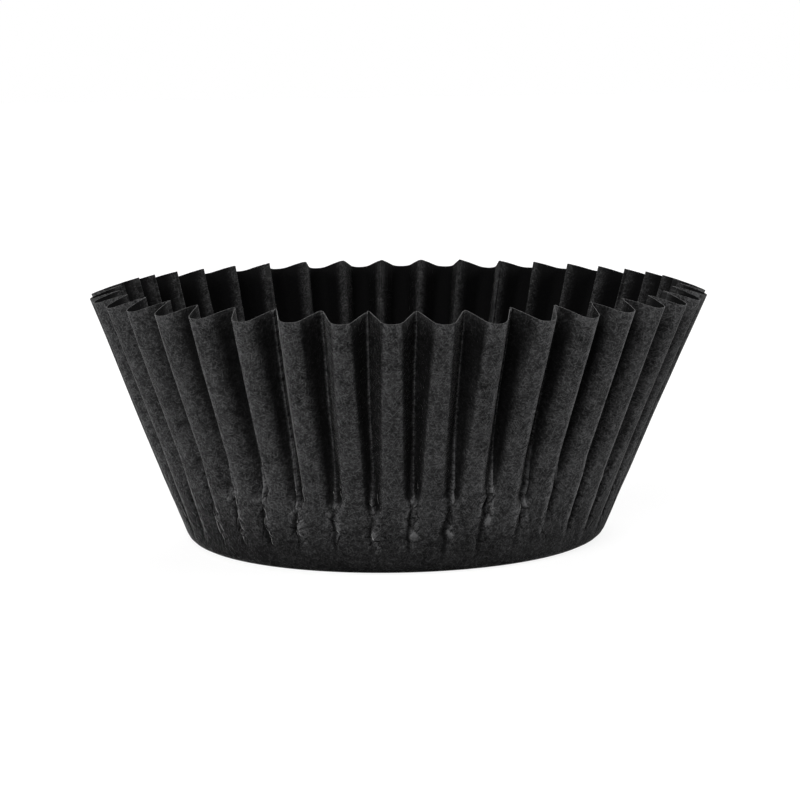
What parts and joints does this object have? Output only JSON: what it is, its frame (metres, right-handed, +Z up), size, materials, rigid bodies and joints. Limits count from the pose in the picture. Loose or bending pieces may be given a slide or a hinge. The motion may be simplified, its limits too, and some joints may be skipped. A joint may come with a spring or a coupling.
{
  "type": "cupcake liner",
  "caption": "Black pleated paper baking cup with a flat round base, a steep fluted wall and a scalloped rim.",
  "frame": {"origin": "centre of the flat base, on the surface the cup stands on", "axes": "+Z up along the cup's axis; X and Y each pass through the middle of two opposite crests"},
  "size_m": [0.0746, 0.0746, 0.0308],
  "materials": {
    "black_paper": "black through-dyed greaseproof paper, matt, with a faint sheen on the folds"
  },
  "bodies": {
    "root": {"liner": "black_paper"}
  },
  "joints": []
}
